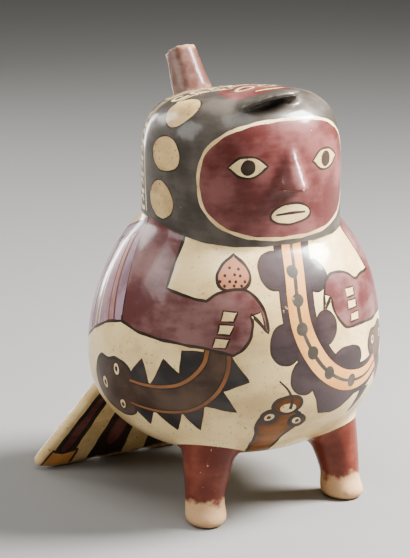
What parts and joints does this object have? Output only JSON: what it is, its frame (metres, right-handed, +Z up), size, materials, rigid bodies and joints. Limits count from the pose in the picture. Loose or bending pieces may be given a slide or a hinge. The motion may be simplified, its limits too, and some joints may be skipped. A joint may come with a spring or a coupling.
{
  "type": "effigy vase",
  "caption": "Hollow painted pottery vessel shaped as a hooded figure on stub legs and a fan tail, with a slanting spout behind the head.",
  "frame": {"origin": "on the floor under the centre of the bounding box", "axes": "+Z up, -Y the way the face looks, +X the figure's left"},
  "size_m": [0.1866, 0.1772, 0.2638],
  "materials": {
    "fired_clay": "burnished painted slip on fired clay"
  },
  "bodies": {
    "root": {"effigy_vase": "fired_clay"}
  },
  "joints": []
}
